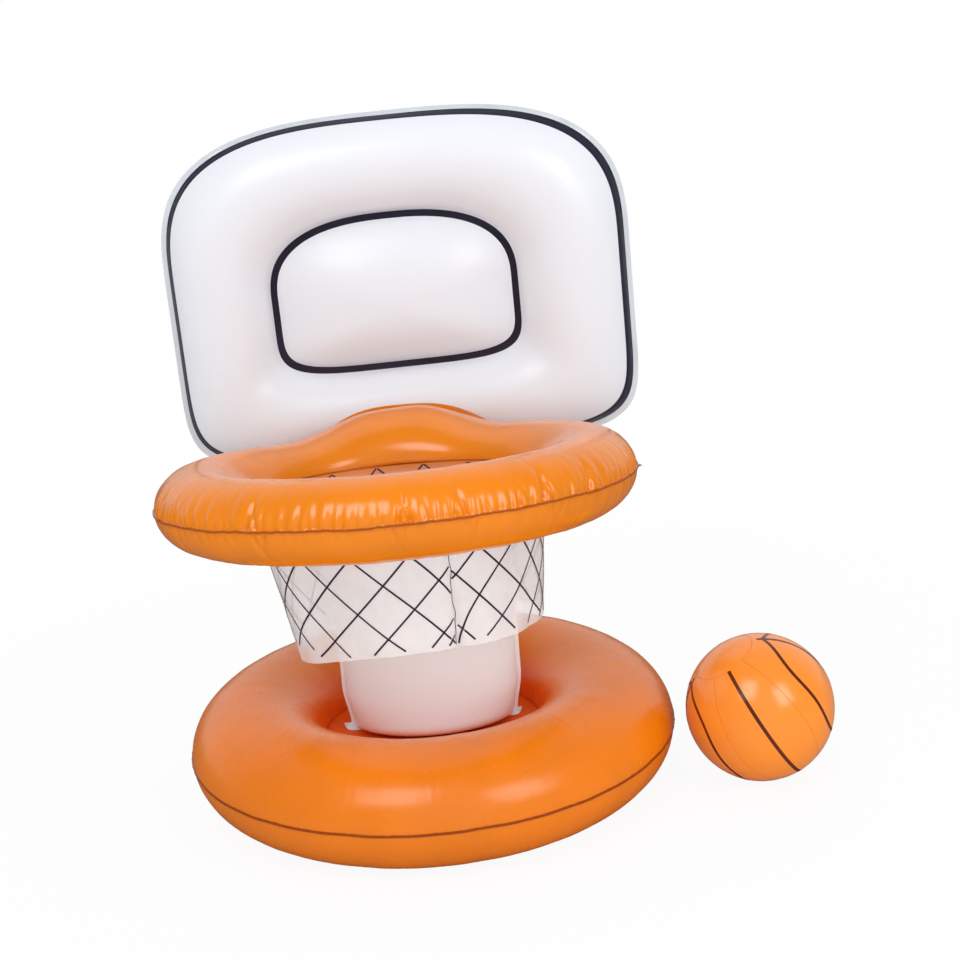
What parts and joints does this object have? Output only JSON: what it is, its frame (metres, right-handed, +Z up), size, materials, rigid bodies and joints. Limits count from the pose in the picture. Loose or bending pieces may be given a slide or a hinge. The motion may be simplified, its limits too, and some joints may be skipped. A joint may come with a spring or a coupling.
{
  "type": "floating basketball hoop",
  "caption": "Inflatable floating basketball hoop: orange base ring and rim, white column and backboard, frosted lattice net skirt, and a ball beside it.",
  "frame": {"origin": "the middle of the set's bounding box, at floor level", "axes": "+Z up, +Y from the rim towards the backboard, +X to the right of a player who faces the board, where the ball stands"},
  "size_m": [0.7344, 0.62, 0.7626],
  "materials": {
    "base_vinyl": "soft sheen",
    "hoop_vinyl": "satin gloss",
    "board_vinyl": "satin gloss",
    "mast_vinyl": "soft sheen",
    "net_vinyl": "frosted, translucent",
    "ball_vinyl": "gloss",
    "valve_vinyl": "clear, satin"
  },
  "bodies": {
    "base_float": {"base_ring_upper_half": "base_vinyl", "base_ring_lower_half": "base_vinyl", "floor_web": "base_vinyl", "mast_foot_patch": "mast_vinyl", "base_valve_flange": "valve_vinyl"},
    "mast": {"mast_front_half": "mast_vinyl", "mast_rear_half": "mast_vinyl", "mast_valve_flange": "valve_vinyl"},
    "hoop": {"hoop_ring_upper_half": "hoop_vinyl", "hoop_ring_lower_half": "hoop_vinyl", "net_skirt": "net_vinyl", "hoop_valve_flange": "valve_vinyl"},
    "backboard": {"backboard_front_half": "board_vinyl", "backboard_rear_half": "board_vinyl", "board_valve_flange": "valve_vinyl"},
    "ball": {"ball_gore_1": "ball_vinyl", "ball_gore_2": "ball_vinyl", "ball_gore_3": "ball_vinyl", "ball_gore_4": "ball_vinyl", "ball_gore_5": "ball_vinyl", "ball_gore_6": "ball_vinyl", "ball_cap_top": "ball_vinyl", "ball_cap_bottom": "ball_vinyl", "ball_valve_flange": "valve_vinyl"},
    "base_stem": {"base_valve_stem": "valve_vinyl", "base_valve_strap": "valve_vinyl"},
    "base_plug": {"base_valve_plug": "valve_vinyl"},
    "mast_stem": {"mast_valve_stem": "valve_vinyl", "mast_valve_strap": "valve_vinyl"},
    "mast_plug": {"mast_valve_plug": "valve_vinyl"},
    "hoop_stem": {"hoop_valve_stem": "valve_vinyl", "hoop_valve_strap": "valve_vinyl"},
    "hoop_plug": {"hoop_valve_plug": "valve_vinyl"},
    "board_stem": {"board_valve_stem": "valve_vinyl", "board_valve_strap": "valve_vinyl"},
    "board_plug": {"board_valve_plug": "valve_vinyl"},
    "ball_stem": {"ball_valve_stem": "valve_vinyl", "ball_valve_strap": "valve_vinyl"},
    "ball_plug": {"ball_valve_plug": "valve_vinyl"}
  },
  "joints": [
    {"name": "mast_sway", "type": "hinge", "parent": "base_float", "child": "mast", "pos_m": [-0.08567, 0.02808, 0.06795], "axis": [1, 0, 0], "range_deg": [-3, 3], "stiffness_Nm_per_rad": 25, "springref_deg": 1.04},
    {"name": "hoop_nod", "type": "hinge", "parent": "mast", "child": "hoop", "pos_m": [-0.08567, 0.10004, 0.35598], "axis": [1, 0, 0], "range_deg": [-3, 3], "stiffness_Nm_per_rad": 25, "springref_deg": 0.29},
    {"name": "board_flex", "type": "hinge", "parent": "hoop", "child": "backboard", "pos_m": [-0.08567, 0.21508, 0.3985], "axis": [1, 0, 0], "range_deg": [-4, 4], "stiffness_Nm_per_rad": 25, "springref_deg": 0.25},
    {"name": "ball_lift", "type": "slide", "parent": "base_float", "child": "ball", "axis": [0, 0, 1], "range_m": [0, 0.5]},
    {"name": "base_stem_press", "type": "slide", "parent": "base_float", "child": "base_stem", "axis": [0, 0.7579, 0.6523], "range_m": [-0.0055, 0]},
    {"name": "base_plug_pull", "type": "slide", "parent": "base_stem", "child": "base_plug", "axis": [0, 0.7579, 0.6523], "range_m": [0, 0.009]},
    {"name": "mast_stem_press", "type": "slide", "parent": "mast", "child": "mast_stem", "axis": [0, 1, 0], "range_m": [-0.0055, 0]},
    {"name": "mast_plug_pull", "type": "slide", "parent": "mast_stem", "child": "mast_plug", "axis": [0, 1, 0], "range_m": [0, 0.009]},
    {"name": "hoop_stem_press", "type": "slide", "parent": "hoop", "child": "hoop_stem", "axis": [0.4627, 0.1928, -0.8653], "range_m": [-0.0055, 0]},
    {"name": "hoop_plug_pull", "type": "slide", "parent": "hoop_stem", "child": "hoop_plug", "axis": [0.4627, 0.1928, -0.8653], "range_m": [0, 0.009]},
    {"name": "board_stem_press", "type": "slide", "parent": "backboard", "child": "board_stem", "axis": [0, 1, 0], "range_m": [-0.0055, 0]},
    {"name": "board_plug_pull", "type": "slide", "parent": "board_stem", "child": "board_plug", "axis": [0, 1, 0], "range_m": [0, 0.009]},
    {"name": "ball_stem_press", "type": "slide", "parent": "ball", "child": "ball_stem", "axis": [0.0649, 0.996, 0.0612], "range_m": [-0.0055, 0]},
    {"name": "ball_plug_pull", "type": "slide", "parent": "ball_stem", "child": "ball_plug", "axis": [0.0649, 0.996, 0.0612], "range_m": [0, 0.009]}
  ]
}
